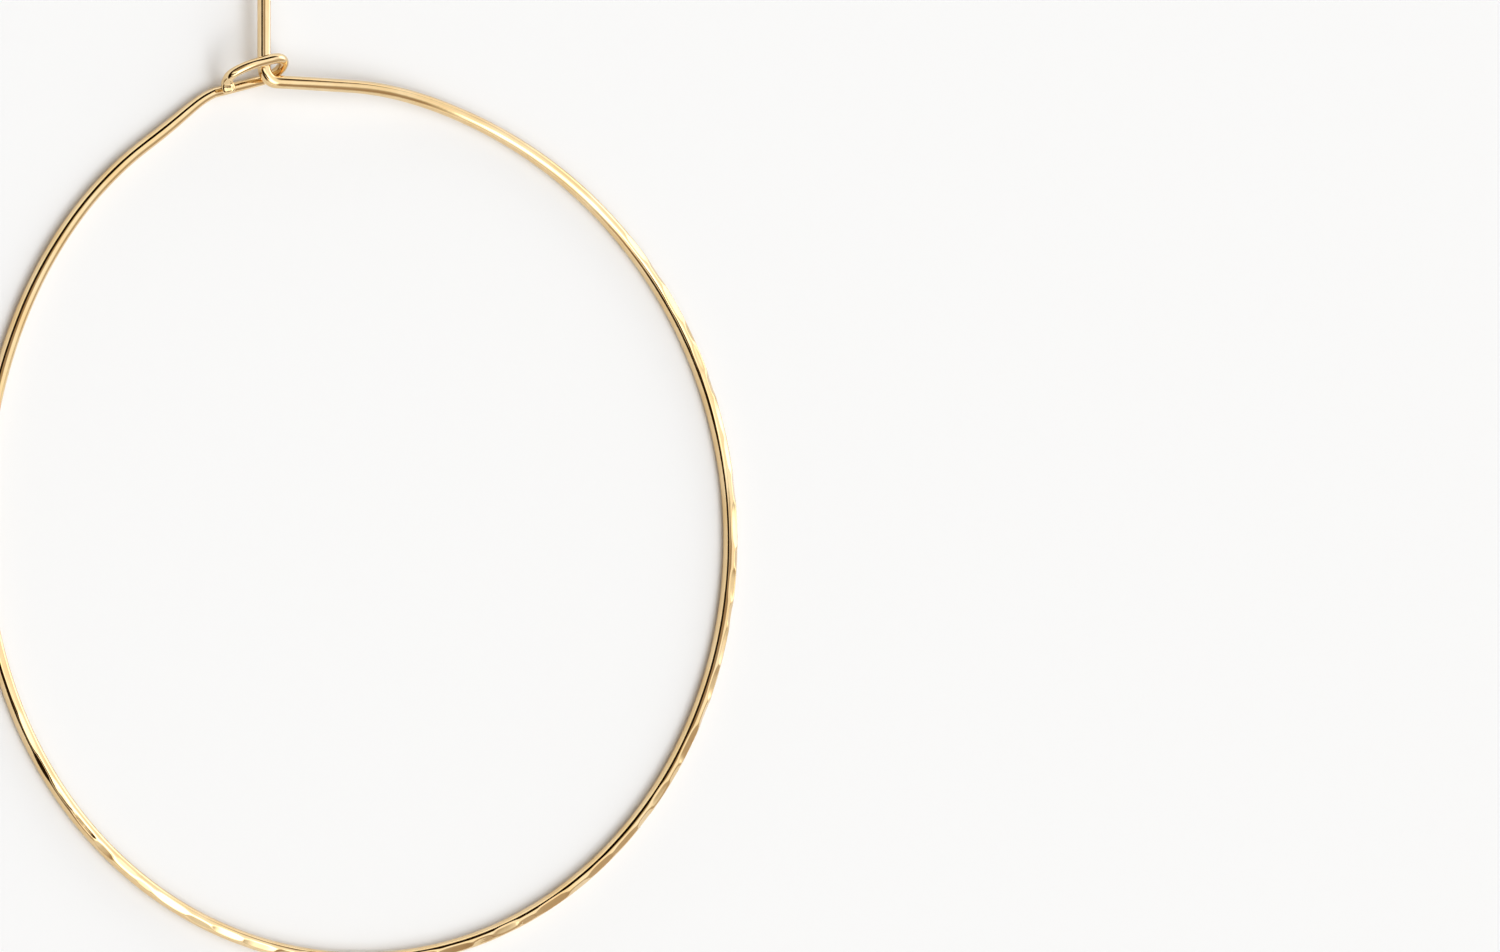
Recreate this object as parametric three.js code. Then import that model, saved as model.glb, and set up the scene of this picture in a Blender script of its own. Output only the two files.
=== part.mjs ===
// A large hammered hoop earring, closed by a latch that stands up through an eye.
// The whole earring is one wire, so it is one solid. It lies on its back, front face up.
// Millimetres. X runs across the hoop, Y from its middle to the clasp side, Z up out of its plane.

import * as THREE from "three";

// the wire: its thickness in the hoop's plane and its width across that plane
const WIRE_THICKNESS = 0.78;
const WIRE_WIDTH = 0.82;
const HAMMERED_THICKNESS = 0.84;
const HAMMERED_WIDTH = 0.9;
const EYE_WIRE_DIAMETER = 0.62;
const TIP_ROUNDING = 0.2;

// the hoop, to the middle of the wire, which thins towards the eye from THINNING_ANGLE on
const HOOP_RADIUS = 25.4;
const ARM_END_ANGLE = 123;
const ARM_DIP = 0.14;
const THINNING_ANGLE = 165;

// The hoop was rounded by hand, so its radius swells a little here and there.
// Columns: number of swells round the hoop, share of the radius, angle of one swell.
const SWELLS = [
  [3, 0.0105, 112],
  [4, 0.0035, 117],
];

// the latch: the right arm's end, bent up through the eye
const CLASP_ANGLE = 105.1;
const LATCH_LENGTH = 6;
const BEND_RADIUS = 0.85;
const LIFT_LENGTH = 14;

// the eye: the left arm's end, turned back over the latch
const EYE_CLEARANCE = 0.2;
const EYE_REACH = 1.3;
const EYE_END = 1.25;
const EYE_TAIL = 2.55;
const EYE_SHOULDER = 1.9;
const EYE_LEAN = 32;
const BEND_CLEARANCE = 0.26;
const BAR_LENGTH = 3;
const CLOSING_GAP = 0.18;
const CLOSING_BEND = 0.6;
const CLOSING_LENGTH = 0.35;
const EYE_TIP_WIDTH = 0.84;
const EYE_TIP_THICKNESS = 0.54;

// the hammered stretch, from the right shoulder down and round to the lower left
const HAMMER_START_ANGLE = 44;
const HAMMER_END_ANGLE = -153;
const BLOW_LENGTH = 2.2;
const BLOW_DEPTH = 0.1;
const BLOW_SIDE = 60;
const BLOW_SWING = 18;

// One run of hammer blows, used again and again along the stretch.
// Columns: share of the blow length, share of the swing to either side, share of the depth.
const BLOW_RUN = [
  [1.0, 0.2, 0.9],
  [0.8, -0.9, 0.7],
  [1.2, 0.6, 1.0],
  [0.6, -0.3, 0.6],
  [0.9, 1.0, 0.8],
  [0.7, -0.6, 1.0],
  [1.1, 0.1, 0.7],
];
const RIDGE_DEPTH_SHARE = 0.15;
const BLOW_SHOULDER_SHARE = 0.22;

// Towards the end of the stretch the blows get lighter, down to this share of their depth.
const LIGHTER_FROM = 0.6;
const LIGHTEST_BLOW = 0.3;

// how finely the wire is drawn
const SIDES = 12;
const SMOOTH_STEP = 2;
const CLASP_STEP = 0.28;

const UP = new THREE.Vector3(0, 0, 1);
const radians = THREE.MathUtils.degToRad;

// sizes that follow from the ones above
const armSection = { thick: WIRE_THICKNESS / 2, wide: WIRE_WIDTH / 2 };
const hammeredSection = { thick: HAMMERED_THICKNESS / 2, wide: HAMMERED_WIDTH / 2 };
const eyeSection = { thick: EYE_WIRE_DIAMETER / 2, wide: EYE_WIRE_DIAMETER / 2 };
const eyeTipSection = { thick: EYE_TIP_THICKNESS / 2, wide: EYE_TIP_WIDTH / 2 };
const restDepth = ovalReach(armSection, Math.PI / 2 - Math.PI / SIDES) * Math.cos(Math.PI / SIDES);
const eyeLean = radians(EYE_LEAN);
const barSlope = radians(CLASP_ANGLE - 90);
const latchHeight = armSection.wide + EYE_CLEARANCE + eyeSection.wide;
const eyeHalfDepth = latchHeight / Math.cos(eyeLean);
const armHeight = hoopRadiusAt(radians(90)) - ARM_DIP;
const latchX = -armHeight * Math.tan(barSlope);
const besideArm = armSection.thick + BEND_CLEARANCE + eyeSection.thick;
const eyeRise = besideArm - EYE_REACH * Math.sin(barSlope);
const eyeMiddle = new THREE.Vector3(latchX, armHeight + eyeRise, latchHeight);
const eyeAlong = new THREE.Vector3(Math.cos(barSlope), Math.sin(barSlope), 0);
const eyeOut = new THREE.Vector3(0, 1, 0).applyAxisAngle(UP, barSlope);
const eyeAcross = UP.clone().multiplyScalar(Math.cos(eyeLean)).addScaledVector(eyeOut, Math.sin(eyeLean));

function hoopRadiusAt(angle) {
  const swell = ([count, share, at]) => share * Math.cos(count * (angle - radians(at)));
  return HOOP_RADIUS * SWELLS.map(swell).reduce((sum, share) => sum + share, 1);
}

function hoopPoint(angle) {
  const radius = hoopRadiusAt(angle);
  return new THREE.Vector3(radius * Math.cos(angle), radius * Math.sin(angle), 0);
}

// The right arm climbs from the hoop's plane to the height at which it passes through the eye.
function liftAt(distance) {
  const share = THREE.MathUtils.clamp(1 - distance / LIFT_LENGTH, 0, 1);
  return latchHeight * THREE.MathUtils.smoothstep(share, 0, 1);
}

// How far an oval section reaches from its middle in one direction.
function ovalReach({ thick, wide }, direction) {
  return 1 / Math.hypot(Math.cos(direction) / thick, Math.sin(direction) / wide);
}

// A section part of the way from one size to another.
function blend(from, to, share) {
  const eased = THREE.MathUtils.smoothstep(share, 0, 1);
  const { lerp } = THREE.MathUtils;
  return { thick: lerp(from.thick, to.thick, eased), wide: lerp(from.wide, to.wide, eased) };
}

// A station is a place along the wire, with the wire's section and the blow that struck it.
function station(point, section, depth = 0, side = 0) {
  return { point, section, depth, side };
}

function steps(length, step) {
  return Math.max(2, Math.ceil(length / step));
}

// Straight up from the tip of the latch, round the bend and along to the top of the hoop.
function latchStations() {
  const list = [];
  const straight = LATCH_LENGTH - BEND_RADIUS;
  const count = steps(straight, 2 * CLASP_STEP);
  for (let i = 0; i < count; i++) {
    const y = armHeight + LATCH_LENGTH - (straight * i) / count;
    list.push(station(new THREE.Vector3(latchX, y, latchHeight), armSection));
  }
  const turns = steps((Math.PI / 2) * BEND_RADIUS, CLASP_STEP / 1.5);
  for (let i = 0; i < turns; i++) {
    const turn = (Math.PI / 2) * (i / turns);
    const x = latchX + BEND_RADIUS * (1 - Math.cos(turn));
    const y = armHeight + BEND_RADIUS * (1 - Math.sin(turn));
    list.push(station(new THREE.Vector3(x, y, latchHeight), armSection));
  }
  const start = latchX + BEND_RADIUS;
  const level = latchX + EYE_REACH + EYE_WIRE_DIAMETER;
  const runs = steps(-start, SMOOTH_STEP / 2);
  for (let i = 0; i < runs; i++) {
    const x = start * (1 - i / runs);
    const point = new THREE.Vector3(x, armHeight, liftAt(Math.max(0, x - level)));
    list.push(station(point, armSection));
  }
  return { list, climbed: Math.max(0, -level) };
}

// The smooth right shoulder, thickening from the top of the hoop to the first hammer blow.
function shoulderStations(climbed) {
  const list = [];
  const span = radians(90 - HAMMER_START_ANGLE);
  const count = steps(span * HOOP_RADIUS, SMOOTH_STEP);
  for (let i = 0; i < count; i++) {
    const turned = (span * i) / count;
    const dip = ARM_DIP * THREE.MathUtils.smoothstep(1 - i / count, 0, 1);
    const point = hoopPoint(radians(90) - turned);
    point.setLength(point.length() - dip);
    point.z = liftAt(climbed + turned * HOOP_RADIUS);
    list.push(station(point, blend(armSection, hammeredSection, i / count)));
  }
  return list;
}

// The blows that fit the hammered stretch, each with its start, length, side and depth.
function hammerBlows() {
  const stretch = radians(HAMMER_START_ANGLE - HAMMER_END_ANGLE) * HOOP_RADIUS;
  const blows = [];
  let used = 0;
  for (let i = 0; used < stretch; i++) {
    const [length, swing, depth] = BLOW_RUN[i % BLOW_RUN.length];
    blows.push({
      start: used,
      length: length * BLOW_LENGTH,
      side: radians(BLOW_SIDE + swing * BLOW_SWING),
      depth: depth * BLOW_DEPTH,
    });
    used += length * BLOW_LENGTH;
  }
  const fit = stretch / used;
  for (const blow of blows) {
    blow.start *= fit;
    blow.length *= fit;
    const lighter = THREE.MathUtils.smoothstep(blow.start / stretch, LIGHTER_FROM, 1);
    blow.depth *= THREE.MathUtils.lerp(1, LIGHTEST_BLOW, lighter);
  }
  return blows;
}

// A blow leaves a flat along the wire, with a low ridge where it meets the next one.
function hammeredStations() {
  const list = [];
  for (const blow of hammerBlows()) {
    const places = [
      [0, RIDGE_DEPTH_SHARE],
      [BLOW_SHOULDER_SHARE, 1],
      [1 - BLOW_SHOULDER_SHARE, 1],
    ];
    for (const [share, depth] of places) {
      const distance = blow.start + share * blow.length;
      const angle = radians(HAMMER_START_ANGLE) - distance / HOOP_RADIUS;
      list.push(station(hoopPoint(angle), hammeredSection, depth * blow.depth, blow.side));
    }
  }
  return list;
}

// The smooth left side, up to where the arm straightens towards the eye.
function leftStations() {
  const list = [];
  const from = radians(HAMMER_END_ANGLE + 360);
  const thinning = radians(THINNING_ANGLE);
  const to = radians(ARM_END_ANGLE);
  const count = steps((from - to) * HOOP_RADIUS, SMOOTH_STEP);
  for (let i = 0; i < count; i++) {
    const angle = from - ((from - to) * i) / count;
    const thinned = (thinning - angle) / (thinning - to);
    list.push(station(hoopPoint(angle), blend(hammeredSection, armSection, thinned)));
  }
  return list;
}

// A point of the eye, from its distance along the bar and its distance across the eye.
function eyePoint(along, across) {
  return eyeMiddle.clone().addScaledVector(eyeAlong, along).addScaledVector(eyeAcross, across);
}

// The left arm runs on almost straight, thins and turns a little into the eye's bar.
function armStations() {
  const angle = radians(ARM_END_ANGLE);
  const start = hoopPoint(angle);
  const heading = hoopPoint(angle - 0.01).sub(start).normalize();
  const end = eyePoint(-BAR_LENGTH, -eyeHalfDepth);
  const gap = start.distanceTo(end);
  const curve = new THREE.CubicBezierCurve3(
    start,
    start.clone().addScaledVector(heading, gap / 2),
    end.clone().addScaledVector(eyeAlong, -gap / 5),
    end,
  );
  const count = steps(gap, SMOOTH_STEP / 2);
  const points = curve.getSpacedPoints(count).slice(0, -1);
  return points.map((point, i) => station(point, blend(armSection, eyeSection, i / count)));
}

// Along the bar, round the right end, back over the latch and down in front of the arm,
// where the end is pressed a little flat.
function eyeStations() {
  const list = [];
  const add = (along, across) => list.push(station(eyePoint(along, across), eyeSection));
  const turn = EYE_REACH - EYE_END;
  const shoulder = EYE_SHOULDER - EYE_TAIL;
  const closingTurn = Math.PI / 2 - eyeLean;
  const closingDrop = CLOSING_BEND * (1 - Math.cos(closingTurn));
  const closingHeight = EYE_WIRE_DIAMETER + CLOSING_GAP;
  const low = (closingHeight + closingDrop - latchHeight) / Math.cos(eyeLean);

  const bar = steps(BAR_LENGTH + turn, 2 * CLASP_STEP);
  for (let i = 0; i < bar; i++) {
    add(-BAR_LENGTH + ((BAR_LENGTH + turn) * i) / bar, -eyeHalfDepth);
  }
  const around = steps(Math.PI * eyeHalfDepth, CLASP_STEP);
  for (let i = 0; i < around; i++) {
    const angle = Math.PI * (i / around - 0.5);
    add(turn + EYE_END * Math.cos(angle), eyeHalfDepth * Math.sin(angle));
  }
  const back = steps(turn - shoulder, 2 * CLASP_STEP);
  for (let i = 0; i < back; i++) {
    add(turn + ((shoulder - turn) * i) / back, eyeHalfDepth);
  }
  const over = steps(EYE_SHOULDER, CLASP_STEP);
  for (let i = 0; i < over; i++) {
    const angle = (Math.PI / 2) * (1 + i / over);
    add(shoulder + EYE_SHOULDER * Math.cos(angle), low + (eyeHalfDepth - low) * Math.sin(angle));
  }
  const bend = steps(closingTurn * CLOSING_BEND, CLASP_STEP / 1.5);
  const bendStart = eyePoint(-EYE_TAIL, low);
  const intoArm = Math.sin(closingTurn) * CLOSING_BEND;
  for (let i = 0; i <= bend; i++) {
    const left = closingTurn * (1 - i / bend);
    const point = bendStart.clone();
    point.addScaledVector(eyeOut, Math.sin(left) * CLOSING_BEND - intoArm);
    point.z = closingHeight + CLOSING_BEND * (1 - Math.cos(left));
    list.push(station(point, blend(eyeSection, eyeTipSection, i / bend)));
  }
  const tip = bendStart.clone().addScaledVector(eyeOut, -intoArm - CLOSING_LENGTH);
  tip.z = closingHeight;
  list.push(station(tip.clone().addScaledVector(eyeOut, TIP_ROUNDING), eyeTipSection));
  list.push(station(tip, eyeTipSection));
  return list;
}

// Both ends of the wire are rounded over: the last stations are narrowed.
function narrowed({ thick, wide }) {
  return { thick: thick - TIP_ROUNDING, wide: wide - TIP_ROUNDING };
}

function roundTips(list) {
  const tip = list[0].point;
  const inner = tip.clone().addScaledVector(list[1].point.clone().sub(tip).normalize(), TIP_ROUNDING);
  list.splice(1, 0, station(inner, armSection));
  for (const end of [list[0], list[list.length - 1]]) {
    end.section = narrowed(end.section);
  }
  return list;
}

function wireStations() {
  const latch = latchStations();
  const lying = [
    ...latch.list,
    ...shoulderStations(latch.climbed),
    ...hammeredStations(),
    ...leftStations(),
    ...armStations(),
  ];
  const turned = eyeStations();
  return { list: roundTips([...lying, ...turned]), eyeStart: lying.length + 1 };
}

// The wire's heading at a station, from its two neighbours, weighted by how near they are.
function headingAt(list, i) {
  const here = list[i].point;
  const before = list[Math.max(0, i - 1)].point;
  const after = list[Math.min(list.length - 1, i + 1)].point;
  const back = here.clone().sub(before);
  const ahead = after.clone().sub(here);
  if (back.length() === 0) return ahead.normalize();
  if (ahead.length() === 0) return back.normalize();
  const nearness = ahead.length() / back.length();
  return back.multiplyScalar(nearness).addScaledVector(ahead, 1 / nearness).normalize();
}

// How far the wire's skin stands from its middle, in one direction of the section.
// Direction 0 points away from the middle of the hoop and a quarter turn points up.
function skinDistance(place, direction) {
  let distance = ovalReach(place.section, direction);
  const toBlow = Math.cos(direction - place.side);
  if (place.depth > 0 && toBlow > 0) {
    distance = Math.min(distance, (ovalReach(place.section, place.side) - place.depth) / toBlow);
  }
  const down = -Math.sin(direction);
  return down > 0 ? Math.min(distance, restDepth / down) : distance;
}

function sectionPoints(place, out, up) {
  const ring = [];
  for (let k = 0; k < SIDES; k++) {
    const direction = ((k + 0.5) / SIDES) * 2 * Math.PI;
    const distance = skinDistance(place, direction);
    const point = place.point.clone();
    point.addScaledVector(out, distance * Math.cos(direction));
    point.addScaledVector(up, distance * Math.sin(direction));
    ring.push(point);
  }
  return ring;
}

// Sections keep their flat side down along the hoop and are carried round the eye without twist.
function wireSections() {
  const { list, eyeStart } = wireStations();
  const up = UP.clone();
  return list.map((place, i) => {
    const heading = headingAt(list, i);
    if (i < eyeStart) up.copy(UP);
    up.addScaledVector(heading, -up.dot(heading)).normalize();
    return sectionPoints(place, up.clone().cross(heading), up);
  });
}

function wireGeometry() {
  const sections = wireSections();
  const positions = sections.flat().flatMap((point) => [point.x, point.y, point.z]);
  const faces = [];
  const at = (i, k) => i * SIDES + (k % SIDES);
  for (let i = 0; i + 1 < sections.length; i++) {
    for (let k = 0; k < SIDES; k++) {
      faces.push(at(i, k), at(i, k + 1), at(i + 1, k + 1));
      faces.push(at(i, k), at(i + 1, k + 1), at(i + 1, k));
    }
  }
  const last = sections.length - 1;
  for (let k = 1; k + 1 < SIDES; k++) {
    faces.push(at(0, 0), at(0, k + 1), at(0, k));
    faces.push(at(last, 0), at(last, k), at(last, k + 1));
  }
  const geometry = new THREE.BufferGeometry();
  geometry.setAttribute("position", new THREE.Float32BufferAttribute(positions, 3));
  geometry.setIndex(faces);
  geometry.computeVertexNormals();
  geometry.computeBoundingBox();
  return geometry;
}

function hoopWire() {
  const gold = new THREE.MeshStandardMaterial({ color: 0xe9cf98, metalness: 1, roughness: 0.12 });
  const mesh = new THREE.Mesh(wireGeometry(), gold);
  mesh.name = "hoop_wire";
  const { min, max } = mesh.geometry.boundingBox;
  mesh.position.set(-(min.x + max.x) / 2, -(min.y + max.y) / 2, -min.z);
  return mesh;
}

const group = new THREE.Group();
group.add(hoopWire());

export default group;
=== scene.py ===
"""A large hoop earring of hammered and polished gold-tone wire, laid on its back on a pale floor."""
import math

import bpy
from mathutils import Matrix, Vector, geometry, noise


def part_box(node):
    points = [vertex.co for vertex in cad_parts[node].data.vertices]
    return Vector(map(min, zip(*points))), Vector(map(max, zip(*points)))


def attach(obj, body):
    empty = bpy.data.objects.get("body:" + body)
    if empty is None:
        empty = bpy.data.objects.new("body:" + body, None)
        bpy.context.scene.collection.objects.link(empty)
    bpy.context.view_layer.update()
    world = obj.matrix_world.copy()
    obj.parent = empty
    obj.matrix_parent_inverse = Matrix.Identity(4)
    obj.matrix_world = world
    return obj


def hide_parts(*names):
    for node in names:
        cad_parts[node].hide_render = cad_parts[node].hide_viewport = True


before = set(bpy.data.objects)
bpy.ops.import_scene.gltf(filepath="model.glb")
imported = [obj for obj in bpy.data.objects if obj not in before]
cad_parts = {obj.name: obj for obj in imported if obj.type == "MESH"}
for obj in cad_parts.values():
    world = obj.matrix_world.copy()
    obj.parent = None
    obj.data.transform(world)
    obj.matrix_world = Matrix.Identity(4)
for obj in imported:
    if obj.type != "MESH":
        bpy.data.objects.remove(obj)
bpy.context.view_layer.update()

MM = 0.001
UP = Vector((0, 0, 1))

# the wire in millimetres: its thickness in the hoop's plane and its width across that plane
WIRE_THICKNESS = 0.78
WIRE_WIDTH = 0.82
HAMMERED_THICKNESS = 0.84
HAMMERED_WIDTH = 0.9
EYE_WIRE_DIAMETER = 0.62
TIP_ROUNDING = 0.2

# the solid wire that this skin stands for has this many flat sides, and rests on one of them
SOLID_SIDES = 12

# The hoop, to the middle of the wire. The handles are shares of the left arm's length, for its curve.
# Columns of the swells: count, share of the radius, angle.
HOOP_RADIUS = 25.4
ARM_END_ANGLE = 123
ARM_DIP = 0.14
ARM_HANDLES = (0.5, 0.2)
THINNING_ANGLE = 165
SWELLS = [
    (3, 0.0105, 112),
    (4, 0.0035, 117),
]

# the latch and the eye that closes over it, whose end is pressed flat on one side of its section
CLASP_ANGLE = 105.1
LATCH_LENGTH = 6
BEND_RADIUS = 0.85
LIFT_LENGTH = 14
EYE_CLEARANCE = 0.2
EYE_REACH = 1.3
EYE_END = 1.25
EYE_TAIL = 2.55
EYE_SHOULDER = 1.9
EYE_LEAN = 32
BEND_CLEARANCE = 0.26
BAR_LENGTH = 3
CLOSING_GAP = 0.18
CLOSING_BEND = 0.6
CLOSING_LENGTH = 0.35
EYE_TIP_WIDTH = 0.84
EYE_TIP_THICKNESS = 0.54
PRESSED_DEPTH = 0.07
PRESSED_SIDE = 180

# The hammer blows: where they start and end, their size, and the run of them that is repeated.
# Columns of the run: share of the length, share of the swing, share of the depth.
HAMMER_START_ANGLE = 44
HAMMER_END_ANGLE = -153
BLOW_LENGTH = 2.2
BLOW_DEPTH = 0.1
BLOW_SIDE = 60
BLOW_SWING = 18
BLOW_RUN = [
    (1.0, 0.2, 0.9),
    (0.8, -0.9, 0.7),
    (1.2, 0.6, 1.0),
    (0.6, -0.3, 0.6),
    (0.9, 1.0, 0.8),
    (0.7, -0.6, 1.0),
    (1.1, 0.1, 0.7),
]
LIGHTER_FROM = 0.6
LIGHTEST_BLOW = 0.3

# A ridge between two blows keeps this share of their depth, and a blow is felt this many half
# lengths from its middle. A flat cuts the skin only where it faces it by more than FLAT_FACING.
RIDGE_DEPTH_SHARE = 0.15
BLOW_REACH = 2
BLOW_ROUNDING = 3
EDGE_SOFTNESS = 0.012
FLAT_FACING = 0.2

# how finely the wire is drawn, how far its skin lies inside the solid wire, and how far it strays
FINE_STEP = 0.12
SMALL_TURN = 0.01
QUARTER_OVAL = 1.5
SIDES = 40
TIP_STEPS = 5
EASING_PASSES = 60
SKIN_INSET = 0.009
WAVER = 0.006
WAVER_LENGTH = 2.2
TWIST = 5
TWIST_LENGTH = 6

# The polished gold: its two tones and its roughness from least to most, the scale of each pattern,
# and how strongly the fine drawing lines and the shallow dents show.
DARKER_GOLD = (0.77, 0.55, 0.275, 1)
LIGHTER_GOLD = (0.83, 0.632, 0.365, 1)
ROUGHNESS = (0.035, 0.1)
TONE_SCALE = 380
CLOUD_SCALE = 1400
LINE_SCALE = 26000
LINE_STRETCH = (0.06, 1, 1)
LINE_STRENGTH = 0.06
DENT_SCALE = 2600
DENT_STRENGTH = 0.25
BUMP_HEIGHT = 0.00001

# the photograph's frame and the camera's place, in pixels, degrees and metres
PHOTO_WIDTH = 1500
PHOTO_HEIGHT = 952
HOOP_MIDDLE = (357, 523.7)
PIXELS_PER_MM = 17.26
VIEW_ACROSS = 31.3
VIEW_BELOW = 4
CAMERA_DISTANCE = 1.2
CAMERA_CLIP = (0.01, 100)
SENSOR = 36

# The soft tent, as the photograph's reflections show it. Directions are in degrees to the right of
# and above the camera's own, angles are in degrees and light is in shares of full light.
SOFT_LIGHT = 1.3
# Columns: the middle of a round patch, its radius, the width of its edge, its light.
PATCHES = [
    ((32, -34), 15, 14, 3.4),
    ((106, 30), 15, 8, 2.6),
    ((82, -52), 25, 12, 0.62),
    ((3, 22), 16, 12, 0.45),
    ((12, 50), 14, 12, 0.4),
    ((0, -9), 6, 5, 2),
]
# A dark ring, and a dark seam inside it, which runs between two places.
RING_MIDDLE = (24, -2)
RING_RADIUS = 62
RING_HALF_WIDTH = 13
SEAM = ((20, -33), (-25, -14))
SEAM_HALF_WIDTH = 4.5
SEAM_END_EDGE = 0.02
DARK_EDGE = 5
DARK_LIGHT = 0.015
# The ring fades towards its lower right and its far right. Columns: a direction's share of the
# camera's right and of its up, how far along it the fade starts and ends, the darkness left.
RING_FADES = [
    ((-0.5, 0.8), -0.45, -0.68, 0.3),
    ((1, 0), 0.76, 0.88, 0.1),
]
# light weaker than WARM_BELOW is warmer, down to this colour in the dark
WARM_BELOW = 0.85
WARM_DARK = (1, 0.58, 0.2, 1)
WHITE = (1, 1, 1, 1)

# a sheet of pale paper, in metres, just under the wire
FLOOR_WHITE = (0.955, 0.97, 0.98, 1)
FLOOR_HALF = 6
FLOOR_DEPTH = 0.00001

ARM = (WIRE_THICKNESS / 2, WIRE_WIDTH / 2)
HAMMERED = (HAMMERED_THICKNESS / 2, HAMMERED_WIDTH / 2)
EYE = (EYE_WIRE_DIAMETER / 2, EYE_WIRE_DIAMETER / 2)
EYE_TIP = (EYE_TIP_THICKNESS / 2, EYE_TIP_WIDTH / 2)


def smoothstep(share):
    share = min(1, max(0, share))
    return share * share * (3 - 2 * share)


def hoop_radius(angle):
    swells = sum(share * math.cos(count * (angle - math.radians(at))) for count, share, at in SWELLS)
    return HOOP_RADIUS * (1 + swells)


def hoop_point(angle):
    radius = hoop_radius(angle)
    return Vector((radius * math.cos(angle), radius * math.sin(angle), 0))


def oval_reach(section, direction):
    """How far an oval section reaches from its middle in one direction."""
    return 1 / math.hypot(math.cos(direction) / section[0], math.sin(direction) / section[1])


QUARTER = math.pi / 2
HALF_FACET = math.pi / SOLID_SIDES
REST_DEPTH = oval_reach(ARM, QUARTER - HALF_FACET) * math.cos(HALF_FACET)
eye_lean = math.radians(EYE_LEAN)
bar_slope = math.radians(CLASP_ANGLE - 90)
latch_height = ARM[1] + EYE_CLEARANCE + EYE[1]
eye_half_depth = latch_height / math.cos(eye_lean)
arm_height = hoop_radius(QUARTER) - ARM_DIP
latch_x = -arm_height * math.tan(bar_slope)
eye_rise = ARM[0] + BEND_CLEARANCE + EYE[0] - EYE_REACH * math.sin(bar_slope)
eye_middle = Vector((latch_x, arm_height + eye_rise, latch_height))
eye_along = Vector((math.cos(bar_slope), math.sin(bar_slope), 0))
eye_out = Vector((-math.sin(bar_slope), math.cos(bar_slope), 0))
eye_across = UP * math.cos(eye_lean) + eye_out * math.sin(eye_lean)


# A place is a point on the wire's middle line, the two half sizes of the section there, and the
# flats that are cut into it, each as its side in radians and its distance from the middle.
def walk(length, place):
    """Places along a stretch, a fine step apart, from their share of its length."""
    count = max(2, math.ceil(length / FINE_STEP))
    return [place(i / count) for i in range(count)]


def blend(start, end, share):
    eased = smoothstep(share)
    return tuple(a + (b - a) * eased for a, b in zip(start, end))


def lift_at(distance):
    return latch_height * smoothstep(1 - distance / LIFT_LENGTH)


def latch():
    """Down the latch, round its bend and along to the top of the hoop."""
    straight = LATCH_LENGTH - BEND_RADIUS
    start = latch_x + BEND_RADIUS
    level = latch_x + EYE_REACH + EYE_WIRE_DIAMETER

    def down(share):
        return Vector((latch_x, arm_height + LATCH_LENGTH - straight * share, latch_height)), ARM, ()

    def bend(share):
        turn = QUARTER * share
        x = latch_x + BEND_RADIUS * (1 - math.cos(turn))
        return Vector((x, arm_height + BEND_RADIUS * (1 - math.sin(turn)), latch_height)), ARM, ()

    def run(share):
        x = start * (1 - share)
        return Vector((x, arm_height, lift_at(max(0, x - level)))), ARM, ()

    return walk(straight, down) + walk(QUARTER * BEND_RADIUS, bend), walk(-start, run)


def shoulder():
    """The smooth right shoulder, which goes through the ear."""
    climbed = max(0, -(latch_x + EYE_REACH + EYE_WIRE_DIAMETER))
    span = math.radians(90 - HAMMER_START_ANGLE)

    def place(share):
        point = hoop_point(QUARTER - span * share)
        point *= 1 - ARM_DIP * smoothstep(1 - share) / point.length
        point.z = lift_at(climbed + span * share * HOOP_RADIUS)
        return point, blend(ARM, HAMMERED, share), ()

    return walk(span * HOOP_RADIUS, place)


def hammered():
    """The hammered stretch, down the right side and along the bottom."""
    start = math.radians(HAMMER_START_ANGLE)
    span = start - math.radians(HAMMER_END_ANGLE)

    def place(share):
        return hoop_point(start - span * share), HAMMERED, blow_flats(span * share * HOOP_RADIUS)

    return walk(span * HOOP_RADIUS, place)


def left_side():
    """The smooth left side, thinning towards the eye."""
    start = math.radians(HAMMER_END_ANGLE + 360)
    thinning = math.radians(THINNING_ANGLE)
    end = math.radians(ARM_END_ANGLE)

    def place(share):
        angle = start + (end - start) * share
        return hoop_point(angle), blend(HAMMERED, ARM, (thinning - angle) / (thinning - end)), ()

    return walk((start - end) * HOOP_RADIUS, place)


def eye_point(along, across):
    return eye_middle + eye_along * along + eye_across * across


def arm():
    """The left arm, almost straight, turning a little into the eye's bar."""
    angle = math.radians(ARM_END_ANGLE)
    start = hoop_point(angle)
    heading = (hoop_point(angle - SMALL_TURN) - start).normalized()
    end = eye_point(-BAR_LENGTH, -eye_half_depth)
    gap = (end - start).length
    count = math.ceil(gap / FINE_STEP)
    leaving, arriving = (gap * share for share in ARM_HANDLES)
    points = geometry.interpolate_bezier(
        start, start + heading * leaving, end - eye_along * arriving, end, count + 1)
    return [(point, blend(ARM, EYE, i / count), ()) for i, point in enumerate(points[:-1])]


def pressed(section, share):
    """The flat front of the eye's end, as side and distance."""
    return [(math.radians(PRESSED_SIDE), section[0] - PRESSED_DEPTH * smoothstep(share))]


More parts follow.
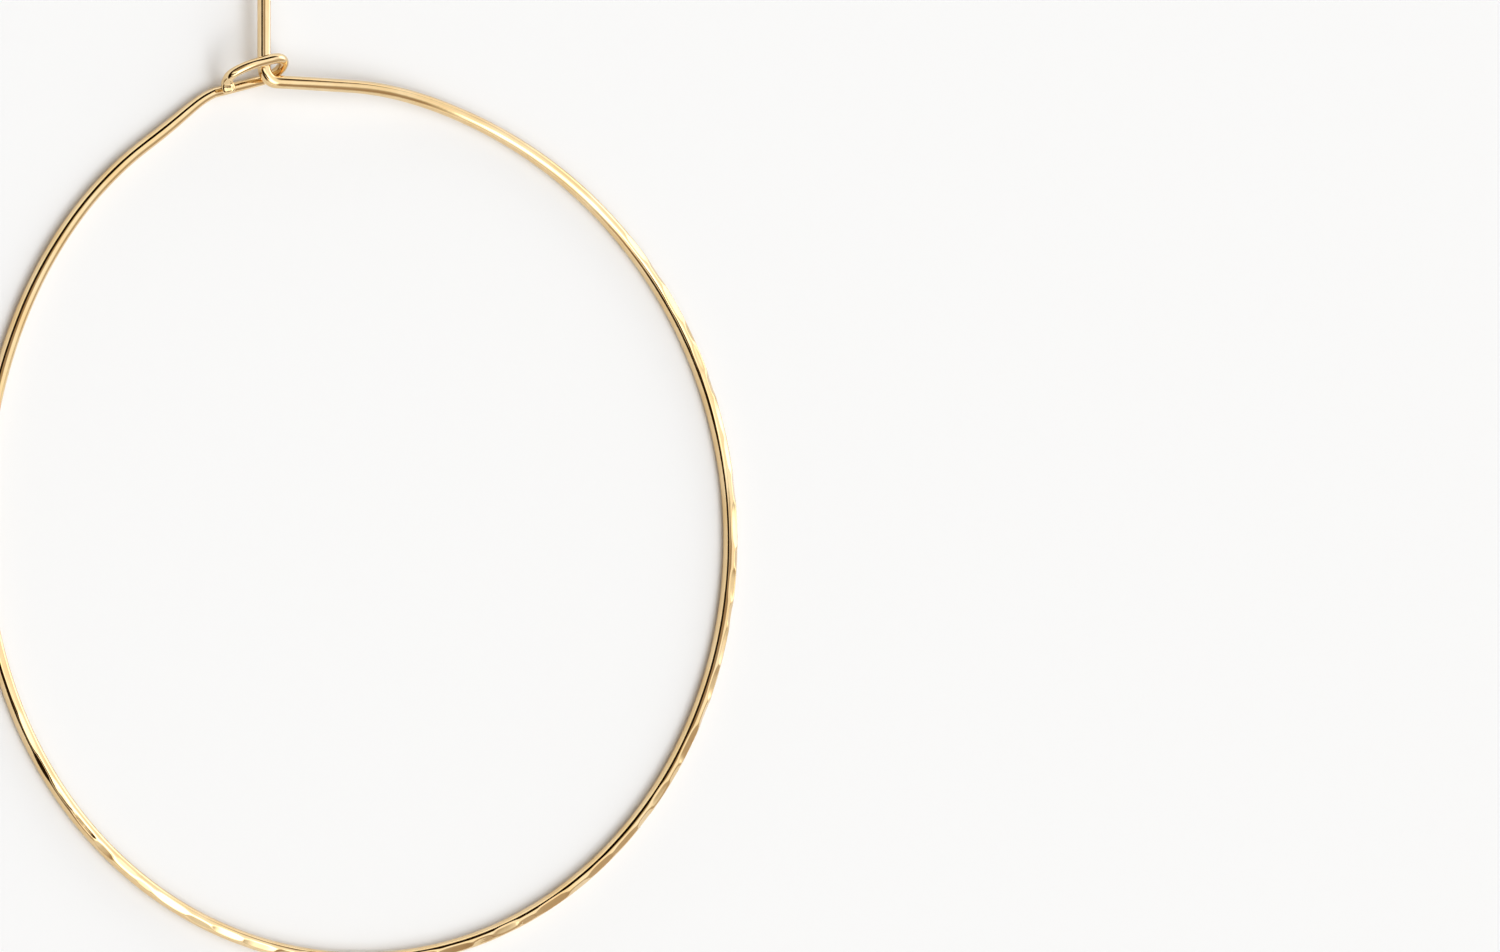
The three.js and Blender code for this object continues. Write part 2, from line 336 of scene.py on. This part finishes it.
def eye():
    """Along the bar, round the right end, back over the latch and down in front of the arm."""
    turn = EYE_REACH - EYE_END
    tail = EYE_SHOULDER - EYE_TAIL
    closing_turn = QUARTER - eye_lean
    closing_height = EYE_WIRE_DIAMETER + CLOSING_GAP
    closing_drop = CLOSING_BEND * (1 - math.cos(closing_turn))
    low = (closing_height + closing_drop - latch_height) / math.cos(eye_lean)
    bend_start = eye_point(-EYE_TAIL, low)
    into_arm = math.sin(closing_turn) * CLOSING_BEND

    def bar(share):
        return eye_point(-BAR_LENGTH + (BAR_LENGTH + turn) * share, -eye_half_depth), EYE, ()

    def around(share):
        angle = math.pi * (share - 0.5)
        return eye_point(turn + EYE_END * math.cos(angle), eye_half_depth * math.sin(angle)), EYE, ()

    def back(share):
        return eye_point(turn + (tail - turn) * share, eye_half_depth), EYE, ()

    def over(share):
        angle = QUARTER * (1 + share)
        across = low + (eye_half_depth - low) * math.sin(angle)
        return eye_point(tail + EYE_SHOULDER * math.cos(angle), across), EYE, ()

    def closing(share):
        left = closing_turn * (1 - share)
        point = bend_start + eye_out * (math.sin(left) * CLOSING_BEND - into_arm)
        point.z = closing_height + CLOSING_BEND * (1 - math.cos(left))
        section = blend(EYE, EYE_TIP, share)
        return point, section, pressed(section, share)

    def end(share):
        point = bend_start - eye_out * (into_arm + CLOSING_LENGTH * share)
        point.z = closing_height
        return point, EYE_TIP, pressed(EYE_TIP, 1)

    return (walk(BAR_LENGTH + turn, bar) + walk(math.pi * eye_half_depth, around)
            + walk(turn - tail, back) + walk(QUARTER_OVAL * EYE_SHOULDER, over)
            + walk(closing_turn * CLOSING_BEND, closing) + walk(CLOSING_LENGTH, end) + [end(1)])


def eased(places, passes):
    """Takes small kinks out of the middle line between the two ends of a list of places."""
    points = [place[0] for place in places]
    for _ in range(passes):
        inner = [(a + b * 2 + c) / 4 for a, b, c in zip(points, points[1:], points[2:])]
        points = [points[0]] + inner + [points[-1]]
    return [(point, *place[1:]) for point, place in zip(points, places)]


def rounded(places):
    """Rounds the wire over at the start of a list of places."""
    tip, section, cuts = places[0]
    along = (places[1][0] - tip).normalized()
    ring = []
    for i in range(TIP_STEPS + 1):
        turn = QUARTER * (1 - i / TIP_STEPS)
        inset = TIP_ROUNDING * (1 - math.cos(turn))
        point = tip + along * TIP_ROUNDING * (1 - math.sin(turn))
        ring.append((point, tuple(half - inset for half in section), cuts))
    return ring + [place for place in places if (place[0] - tip).length > TIP_ROUNDING + FINE_STEP / 2]


def wire_places():
    upright, run = latch()
    lying = eased(run + shoulder() + hammered() + left_side() + arm(), EASING_PASSES)
    turned = rounded(eye()[::-1])[::-1]
    start = rounded(upright) + lying
    return start + turned, len(start)


def hammer_blows():
    """The blows that fit the hammered stretch, as middle, half length, side and depth."""
    stretch = math.radians(HAMMER_START_ANGLE - HAMMER_END_ANGLE) * HOOP_RADIUS
    blows = []
    used = 0
    while used < stretch:
        length, swing, depth = BLOW_RUN[len(blows) % len(BLOW_RUN)]
        side = math.radians(BLOW_SIDE + swing * BLOW_SWING)
        blows.append((used + length * BLOW_LENGTH / 2, length * BLOW_LENGTH / 2, side, depth * BLOW_DEPTH))
        used += length * BLOW_LENGTH
    fit = stretch / used
    return [(middle * fit, half * fit, side, depth * lightness((middle - half) / used))
            for middle, half, side, depth in blows]


def lightness(share):
    """The blows get lighter towards the end of the stretch."""
    return 1 - (1 - LIGHTEST_BLOW) * smoothstep((share - LIGHTER_FROM) / (1 - LIGHTER_FROM))


def soft_min(a, b):
    """The smaller of two distances, with a rounded edge where they cross."""
    share = min(1, max(0, 0.5 + (b - a) / (2 * EDGE_SOFTNESS)))
    return b + (a - b) * share - EDGE_SOFTNESS * share * (1 - share)


BLOWS = hammer_blows()


def blow_flats(struck):
    """The flats that the blows near one place leave there, as side and distance."""
    cuts = []
    for middle, half, side, depth in BLOWS:
        away = abs(struck - middle) / half
        if away < BLOW_REACH:
            sunk = depth * (1 - (1 - RIDGE_DEPTH_SHARE) * away ** BLOW_ROUNDING)
            cuts.append((side, oval_reach(HAMMERED, side) - sunk))
    return cuts


def skin_distance(section, cuts, direction, twist):
    distance = oval_reach(section, direction - twist)
    for side, reach in cuts:
        towards = math.cos(direction - side)
        if towards > FLAT_FACING:
            distance = soft_min(distance, reach / towards)
    down = -math.sin(direction)
    if down > FLAT_FACING:
        distance = soft_min(distance, REST_DEPTH / down)
    return distance


def heading_at(places, i):
    here = places[i][0]
    back = here - places[max(0, i - 1)][0]
    ahead = places[min(len(places) - 1, i + 1)][0] - here
    if back.length == 0 or ahead.length == 0:
        return (back + ahead).normalized()
    nearness = ahead.length / back.length
    return (back * nearness + ahead / nearness).normalized()


def wire_mesh():
    """One closed skin round the wire, with its own unrolled coordinates for the finish."""
    places, eye_start = wire_places()
    up = UP.copy()
    points = []
    unrolled = []
    along = 0
    for i, (point, section, cuts) in enumerate(places):
        heading = heading_at(places, i)
        if i < eye_start:
            up = UP.copy()
        up = (up - heading * up.dot(heading)).normalized()
        out = up.cross(heading)
        along += (point - places[max(0, i - 1)][0]).length
        twist = math.radians(TWIST) * noise.noise(Vector((along / TWIST_LENGTH, 0, 0)))
        for side in range(SIDES):
            direction = 2 * math.pi * side / SIDES
            distance = skin_distance(section, cuts, direction, twist)
            spoke = Vector((math.cos(direction), math.sin(direction)))
            waver = noise.noise(Vector((along / WAVER_LENGTH, spoke.x, spoke.y)))
            distance -= SKIN_INSET + WAVER * waver
            points.append(point + (out * spoke.x + up * spoke.y) * distance)
            unrolled.append(Vector((along, spoke.x * distance, spoke.y * distance)))
    rings = len(places)
    faces = [
        (i * SIDES + k, i * SIDES + (k + 1) % SIDES, (i + 1) * SIDES + (k + 1) % SIDES, (i + 1) * SIDES + k)
        for i in range(rings - 1) for k in range(SIDES)
    ]
    faces.append(tuple(range(SIDES))[::-1])
    faces.append(tuple(range((rings - 1) * SIDES, rings * SIDES)))
    mesh = bpy.data.meshes.new("hoop_wire_skin")
    mesh.from_pydata(settled(points), [], faces)
    mesh.shade_smooth()
    layer = mesh.attributes.new("wire_space", "FLOAT_VECTOR", "POINT")
    layer.data.foreach_set("vector", [value * MM for spot in unrolled for value in spot])
    return mesh


def settled(points):
    """The points in metres, moved to where the solid wire lies."""
    low, high = (Vector(corner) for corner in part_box("hoop_wire"))
    own_low = Vector(min(point[axis] for point in points) for axis in range(3)) * MM
    own_high = Vector(max(point[axis] for point in points) for axis in range(3)) * MM
    move = (low + high - own_low - own_high) / 2
    move.z = low.z - own_low.z
    return [point * MM + move for point in points]


def node(tree, kind, inputs=(), **settings):
    made = tree.nodes.new(kind)
    for name, value in settings.items():
        setattr(made, name, value)
    for name, value in dict(inputs).items():
        if isinstance(value, bpy.types.NodeSocket):
            tree.links.new(value, made.inputs[name])
        else:
            made.inputs[name].default_value = value
    return made


def ramp(tree, value, low, high, start, end):
    made = node(tree, "ShaderNodeMapRange", {
        "Value": value, "From Min": low, "From Max": high, "To Min": start, "To Max": end})
    return made.outputs["Result"]


def gold_material():
    """Polished pale gold: slight tone changes, a few cloudy patches and fine drawing lines."""
    material = bpy.data.materials.new("polished_gold_skin")
    material.use_nodes = True
    tree = material.node_tree
    shader = tree.nodes["Principled BSDF"]
    shader.inputs["Metallic"].default_value = 1
    space = node(tree, "ShaderNodeAttribute", attribute_name="wire_space").outputs["Vector"]

    tone = node(tree, "ShaderNodeTexNoise", {"Vector": space, "Scale": TONE_SCALE, "Detail": 3})
    colour = node(tree, "ShaderNodeValToRGB", {"Fac": tone.outputs["Fac"]})
    darker, lighter = colour.color_ramp.elements
    darker.position, darker.color = 0.35, DARKER_GOLD
    lighter.position, lighter.color = 0.65, LIGHTER_GOLD
    tree.links.new(colour.outputs["Color"], shader.inputs["Base Color"])

    cloud = node(tree, "ShaderNodeTexNoise", {"Vector": space, "Scale": CLOUD_SCALE, "Detail": 4})
    tree.links.new(ramp(tree, cloud.outputs["Fac"], 0.3, 0.75, *ROUGHNESS), shader.inputs["Roughness"])

    stretch = node(tree, "ShaderNodeMapping", {"Vector": space, "Scale": LINE_STRETCH})
    lines = node(tree, "ShaderNodeTexNoise", {
        "Vector": stretch.outputs["Vector"], "Scale": LINE_SCALE, "Detail": 2})
    dents = node(tree, "ShaderNodeTexNoise", {"Vector": space, "Scale": DENT_SCALE, "Detail": 1})
    fine = node(tree, "ShaderNodeBump", {
        "Height": lines.outputs["Fac"], "Strength": LINE_STRENGTH, "Distance": BUMP_HEIGHT})
    coarse = node(tree, "ShaderNodeBump", {
        "Height": dents.outputs["Fac"], "Strength": DENT_STRENGTH, "Distance": BUMP_HEIGHT,
        "Normal": fine.outputs["Normal"]})
    tree.links.new(coarse.outputs["Normal"], shader.inputs["Normal"])
    return material


def build_wire():
    wire = bpy.data.objects.new("hammered_wire", wire_mesh())
    bpy.context.scene.collection.objects.link(wire)
    wire.data.materials.append(gold_material())
    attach(wire, "root")
    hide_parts("hoop_wire")


def view_axes():
    """Right, up and towards the camera, in the hoop's frame as it lies."""
    across = math.radians(VIEW_ACROSS)
    below = math.radians(VIEW_BELOW)
    towards = Vector((
        -math.sin(across) * math.cos(below), -math.sin(below), math.cos(across) * math.cos(below)))
    right = Vector((0, 1, 0)).cross(towards).normalized()
    return right, towards.cross(right), towards


def hoop_middle():
    """The middle of the hoop in metres, from its left side and the latch's tip."""
    low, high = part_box("hoop_wire")
    left = min(hoop_point(math.radians(angle)).x for angle in range(90, 270)) - HAMMERED[0]
    return Vector((low[0] - left * MM, high[1] - (arm_height + LATCH_LENGTH) * MM, REST_DEPTH * MM))


def build_camera():
    focal = PIXELS_PER_MM * CAMERA_DISTANCE / MM
    right, up, towards = view_axes()
    aim = Vector((HOOP_MIDDLE[0] - PHOTO_WIDTH / 2, PHOTO_HEIGHT / 2 - HOOP_MIDDLE[1], -focal))
    pan = aim.rotation_difference(Vector((0, 0, -1)))
    base = Matrix((right, up, towards)).transposed()
    camera = bpy.data.objects.new("camera", bpy.data.cameras.new("camera"))
    camera.data.sensor_width = SENSOR
    camera.data.lens = SENSOR * focal / PHOTO_WIDTH
    camera.data.clip_start, camera.data.clip_end = CAMERA_CLIP
    place = hoop_middle() + towards * CAMERA_DISTANCE
    camera.matrix_world = Matrix.Translation(place) @ (base @ pan.to_matrix()).to_4x4()
    bpy.context.scene.collection.objects.link(camera)
    bpy.context.scene.camera = camera


def build_floor():
    mesh = bpy.data.meshes.new("floor")
    corners = [(-1, -1), (1, -1), (1, 1), (-1, 1)]
    mesh.from_pydata([(x * FLOOR_HALF, y * FLOOR_HALF, -FLOOR_DEPTH) for x, y in corners],
                     [], [(0, 1, 2, 3)])
    floor = bpy.data.objects.new("floor", mesh)
    bpy.context.scene.collection.objects.link(floor)
    material = bpy.data.materials.new("floor_paper")
    material.use_nodes = True
    shader = material.node_tree.nodes["Principled BSDF"]
    shader.inputs["Base Color"].default_value = FLOOR_WHITE
    shader.inputs["Roughness"].default_value = 0.9
    shader.inputs["Specular IOR Level"].default_value = 0.1
    mesh.materials.append(material)


def share_along(tree, where, axis):
    """How far a direction points along an axis."""
    made = node(tree, "ShaderNodeVectorMath", operation="DOT_PRODUCT")
    tree.links.new(where, made.inputs[0])
    made.inputs[1].default_value = axis
    return made.outputs["Value"]


def maths(tree, operation, a, b=0.0):
    return node(tree, "ShaderNodeMath", {0: a, 1: b}, operation=operation).outputs["Value"]


def tent_direction(across, above):
    """A direction from its degrees to the right of and above the camera's own."""
    right, up, towards = view_axes()
    away = math.radians(math.hypot(across, above))
    aside = (right * across + up * above).normalized()
    return towards * math.cos(away) + aside * math.sin(away)


def turned_from(tree, where, place):
    """The degrees between one direction and another, which is given as for tent_direction()."""
    turned = maths(tree, "ARCCOSINE", share_along(tree, where, tent_direction(*place)))
    return maths(tree, "MULTIPLY", turned, 180 / math.pi)


def ring_darkness(tree, where):
    """How dark the ring is in one direction, from 0 to 1."""
    right, up, _ = view_axes()
    beside = maths(tree, "SUBTRACT", turned_from(tree, where, RING_MIDDLE), RING_RADIUS)
    dark = ramp(tree, maths(tree, "ABSOLUTE", beside), RING_HALF_WIDTH, RING_HALF_WIDTH + DARK_EDGE, 1, 0)
    for (across, above), start, end, left in RING_FADES:
        faded = ramp(tree, share_along(tree, where, right * across + up * above), start, end, 1, left)
        dark = maths(tree, "MULTIPLY", dark, faded)
    return dark


def seam_darkness(tree, where):
    """How dark the seam is in one direction, from 0 to 1."""
    start, end = (tent_direction(*place) for place in SEAM)
    pole = start.cross(end).normalized()
    beside = maths(tree, "ABSOLUTE", share_along(tree, where, pole))
    narrow, wide = (math.sin(math.radians(SEAM_HALF_WIDTH + more)) for more in (0, DARK_EDGE))
    half_way = (start + end).normalized()
    reach = half_way.dot(start)
    within = ramp(
        tree, share_along(tree, where, half_way), reach - SEAM_END_EDGE, reach + SEAM_END_EDGE, 0, 1)
    return maths(tree, "MULTIPLY", ramp(tree, beside, narrow, wide, 1, 0), within)


def build_tent():
    """A pale tent all round, as a world."""
    world = bpy.data.worlds.new("tent")
    world.use_nodes = True
    bpy.context.scene.world = world
    tree = world.node_tree
    where = node(tree, "ShaderNodeTexCoord").outputs["Generated"]
    light = SOFT_LIGHT
    for place, radius, edge, level in PATCHES:
        share = ramp(tree, turned_from(tree, where, place), radius, radius + edge, 1, 0)
        more = maths(tree, "MULTIPLY", share, maths(tree, "SUBTRACT", level, light))
        light = maths(tree, "ADD", light, more)
    dark = maths(tree, "MAXIMUM", ring_darkness(tree, where), seam_darkness(tree, where))
    light = maths(tree, "MULTIPLY", light, ramp(tree, dark, 0, 1, 1, DARK_LIGHT))
    warmth = node(tree, "ShaderNodeValToRGB", {"Fac": light})
    low, high = warmth.color_ramp.elements
    low.position, low.color = 0, WARM_DARK
    high.position, high.color = WARM_BELOW, WHITE
    background = tree.nodes["Background"]
    tree.links.new(warmth.outputs["Color"], background.inputs["Color"])
    tree.links.new(light, background.inputs["Strength"])


build_wire()
build_camera()
build_floor()
build_tent()
bpy.context.scene.view_settings.view_transform = "Standard"
